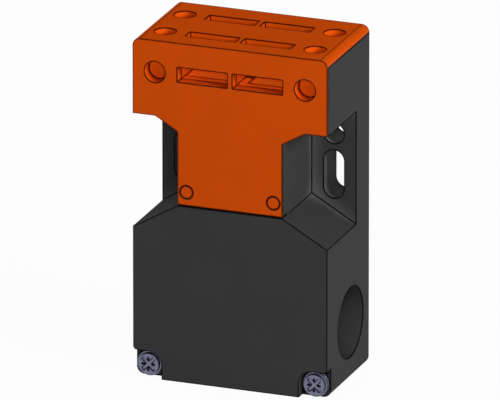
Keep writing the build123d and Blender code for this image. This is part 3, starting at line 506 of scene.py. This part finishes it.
class SWITCH_OT_seals(bpy.types.Operator):
    """Finishes the rubber seals"""

    bl_idname = "switch.seals"
    bl_label = "Seals"

    def execute(self, context):
        finish = context.scene.switch_finish
        # Nitrile rubber, pressed: almost black and quite matt
        rubber = moulded("pressed_nitrile_rubber", linear("161616"), linear("0C0C0C"), finish, 0.8, 0.25)
        dress(rubber, "cover_gasket", "blanking_plug_seals", "plunger_seal")
        return {"FINISHED"}


class SWITCH_OT_screws(bpy.types.Operator):
    """Makes the two cover screws with their recesses and threads"""

    bl_idname = "switch.screws"
    bl_label = "Cover screws"

    def execute(self, context):
        scene = context.scene
        sizes = scene.switch_screw
        # Steel with blue passivated zinc plating: satin, bluish, slightly uneven, with painted shade in its
        # grooves and a painted dark outline along its edges
        zinc = metal(
            "blue_passivated_zinc_plate", scene.switch_finish.screw, 0.42, 1.6 * MM, line=sizes.line
        )
        for body in ("screw_left", "screw_right"):
            node = "cover_" + body
            piece = place(node + "_turned", screw_mesh(node, sizes), body, zinc)
            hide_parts(node)
        dress(zinc, "terminal_screws")
        return {"FINISHED"}


class SWITCH_OT_rotor(bpy.types.Operator):
    """Finishes the rotor, its bushes, the plunger and its spring"""

    bl_idname = "switch.rotor"
    bl_label = "Rotor and plunger"

    def execute(self, context):
        finish = context.scene.switch_finish
        # Zinc alloy, die cast and tumbled: dull light grey with soft mottling
        cast = metal("die_cast_zinc_alloy", linear("9A9A98"), 0.5, 0.9 * MM)
        # Carbon steel, turned: bright, with fine lines round the work
        turned = metal("turned_steel", linear("A8A8A6"), 0.3, 2.0 * MM, 0.08 * MM)
        # Bronze, sintered: brown gold and open grained
        sintered = metal("sintered_bronze", linear("A9814A"), 0.55, 0.3 * MM)
        # Spring steel wire, drawn: darker grey than the turned steel, and satin
        wire = metal("drawn_spring_steel", linear("7E7E80"), 0.35, 1.0 * MM)
        # Polyamide, moulded in its natural colour: ivory and softly glossy
        nylon = moulded("moulded_natural_polyamide", linear("D8D2BE"), linear("B5AE98"), finish, 0.45, 0.4)
        dress(cast, "rotor_cam")
        dress(turned, "rotor_shaft", "cap_screws", "contact_block_screws")
        dress(sintered, "rotor_bush_left", "rotor_bush_right")
        dress(wire, "plunger_spring", "contact_springs")
        dress(nylon, "plunger", "contact_carrier", "cover_screw_retainers")
        return {"FINISHED"}


class SWITCH_OT_contacts(bpy.types.Operator):
    """Finishes the switching element and its terminals"""

    bl_idname = "switch.contacts"
    bl_label = "Switching element"

    def execute(self, context):
        finish = context.scene.switch_finish
        # Polyester, moulded: mid grey and smooth
        block = moulded("moulded_grey_polyester", linear("4A4A4C"), linear("2A2A2C"), finish, 0.45, 0.4)
        # Brass, stamped from strip: yellow, rolled smooth
        brass = metal("stamped_brass", linear("C9A35A"), 0.3, 2.0 * MM)
        # Copper nickel, stamped from strip: pinkish, rolled smooth
        copper = metal("stamped_copper_nickel", linear("C58F70"), 0.32, 2.0 * MM)
        # Fine silver, riveted: white and soft
        silver = metal("riveted_silver", linear("D9D9D4"), 0.3, 0.8 * MM)
        # Steel, stamped and zinc plated: pale blue grey, satin
        clamp = metal("plated_steel_clamp", linear("A9ACB2"), 0.4, 1.2 * MM)
        dress(block, "contact_block", "contact_block_cover")
        sets = ("break_left", "make_middle", "break_right")
        dress(brass, "cover_screw_inserts", *("fixed_contacts_" + s for s in sets))
        dress(copper, *("contact_bridge_" + s for s in sets))
        dress(silver, "fixed_contact_tips")
        dress(clamp, "terminal_clamps")
        return {"FINISHED"}


# Studio
def seen_white(name, tone, share):
    """A surface that the camera, glass and metal see mostly as plain white, while it still takes light and
    shadow for the rest."""
    material, tree, shader = new_material(name)
    shader.inputs["Base Color"].default_value = tone
    shader.inputs["Roughness"].default_value = 0.9
    path = add(tree, "ShaderNodeLightPath")
    seen = add(
        tree,
        "ShaderNodeMath",
        {0: path.outputs["Is Camera Ray"], 1: path.outputs["Is Glossy Ray"]},
        operation="MAXIMUM",
    )
    seen = add(
        tree,
        "ShaderNodeMath",
        {0: seen.outputs["Value"], 1: path.outputs["Is Transmission Ray"]},
        operation="MAXIMUM",
    )
    part = add(tree, "ShaderNodeMath", {0: seen.outputs["Value"], 1: share}, operation="MULTIPLY")
    white = add(tree, "ShaderNodeEmission", {"Color": (1, 1, 1, 1), "Strength": 1.0})
    lit = shader.outputs["BSDF"]
    both = add(tree, "ShaderNodeMixShader", {0: part.outputs["Value"], 1: lit, 2: white.outputs[0]})
    output = next(n for n in tree.nodes if n.type == "OUTPUT_MATERIAL")
    tree.links.new(both.outputs["Shader"], output.inputs["Surface"])
    return material


def lamp(name, watts, size, spot, target, glossy=True):
    """A square soft lamp at spot that faces target, and that glossy surfaces may mirror or not."""
    data = bpy.data.lights.new(name, "AREA")
    data.energy, data.shape, data.size = watts, "SQUARE", size
    holder = bpy.data.objects.new(name, data)
    holder.location = spot
    holder.rotation_euler = (Vector(target) - Vector(spot)).to_track_quat("-Z", "Y").to_euler()
    holder.visible_glossy = glossy
    bpy.context.scene.collection.objects.link(holder)


class SWITCH_OT_stage(bpy.types.Operator):
    """Sets up the floor, the lamps, the sky and the camera"""

    bl_idname = "switch.stage"
    bl_label = "Studio"

    def execute(self, context):
        scene = context.scene
        studio = scene.switch_studio
        low, high = (Vector(corner) for corner in cad_box)
        middle = (low + high) / 2

        mesh = bpy.data.meshes.new("floor")
        signs = ((-1, -1), (1, -1), (1, 1), (-1, 1))
        corners = [(x * FLOOR_REACH, y * FLOOR_REACH, 0) for x, y in signs]
        mesh.from_pydata(corners, [], [(0, 1, 2, 3)])
        floor = bpy.data.objects.new("floor", mesh)
        mesh.materials.append(seen_white("pale_paper_floor", linear("C8C8C8"), 0.95))
        floor.location.z = low.z - FLOOR_GAP
        scene.collection.objects.link(floor)

        lamp("lamp_right", studio.key, 0.3, (0.87, -0.28, 0.47), middle)
        lamp("lamp_front", studio.front, 0.25, (0.33, -0.88, 0.38), middle)
        lamp("lamp_top", studio.top, 0.5, (0.05, -0.15, 0.95), middle)
        lamp("lamp_back", studio.back, 0.5, (-0.1, 0.99, 0.16), middle, glossy=False)
        lamp("lamp_left", studio.left, 0.5, (-0.98, 0.15, 0.16), middle, glossy=False)

        world = bpy.data.worlds.new("even_sky")
        world.use_nodes = True
        tree = world.node_tree
        tree.nodes.clear()
        path = add(tree, "ShaderNodeLightPath")
        sky = add(tree, "ShaderNodeBackground", {"Color": (1, 1, 1, 1), "Strength": studio.sky})
        white = add(tree, "ShaderNodeBackground", {"Color": (1, 1, 1, 1), "Strength": 1.0})
        seen = path.outputs["Is Camera Ray"]
        both = add(tree, "ShaderNodeMixShader", {0: seen, 1: sky.outputs[0], 2: white.outputs[0]})
        add(tree, "ShaderNodeOutputWorld", {"Surface": both.outputs[0]})
        scene.world = world
        scene.view_settings.view_transform = "Standard"

        turn, tilt = studio.azimuth, studio.elevation
        back = Vector((sin(turn) * cos(tilt), -cos(turn) * cos(tilt), sin(tilt)))
        facing = (-back).to_track_quat("-Z", "Y")
        right, up = facing @ Vector((1, 0, 0)), facing @ Vector((0, 1, 0))
        data = bpy.data.cameras.new("camera")
        data.sensor_width = 36.0
        seen_width = IMAGE_WIDTH / studio.pixels_per_mm * MM
        data.lens = data.sensor_width * studio.distance / seen_width
        camera = bpy.data.objects.new("camera", data)
        camera.location = middle + back * studio.distance + right * studio.aim_right + up * studio.aim_up
        camera.rotation_euler = facing.to_euler()
        scene.collection.objects.link(camera)
        scene.camera = camera
        return {"FINISHED"}


class SWITCH_PT_panel(bpy.types.Panel):
    """Lists the switch's pieces and settings in the sidebar"""

    bl_label = "Position switch"
    bl_idname = "SWITCH_PT_panel"
    bl_space_type = "VIEW_3D"
    bl_region_type = "UI"
    bl_category = "Position switch"

    def draw(self, context):
        for name in GROUPS:
            box = self.layout.box()
            settings = getattr(context.scene, name)
            for key in settings.bl_rna.properties.keys():
                if key not in ("rna_type", "name"):
                    box.prop(settings, key)
        for operator in OPERATORS:
            self.layout.operator(operator.bl_idname)


GROUPS = {
    "switch_finish": SwitchFinish,
    "switch_screw": ScrewSizes,
    "switch_studio": StudioSettings,
}
OPERATORS = (
    SWITCH_OT_case,
    SWITCH_OT_seals,
    SWITCH_OT_screws,
    SWITCH_OT_rotor,
    SWITCH_OT_contacts,
    SWITCH_OT_stage,
)


def register():
    for kind in (*GROUPS.values(), *OPERATORS, SWITCH_PT_panel):
        bpy.utils.register_class(kind)
    for name, kind in GROUPS.items():
        setattr(bpy.types.Scene, name, PointerProperty(type=kind))


def unregister():
    for name in GROUPS:
        delattr(bpy.types.Scene, name)
    for kind in (SWITCH_PT_panel, *reversed(OPERATORS), *reversed(GROUPS.values())):
        bpy.utils.unregister_class(kind)


def main():
    """Registers the classes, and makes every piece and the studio."""
    register()
    for operator in OPERATORS:
        group, name = operator.bl_idname.split(".")
        getattr(getattr(bpy.ops, group), name)()


if __name__ == "__main__":
    main()
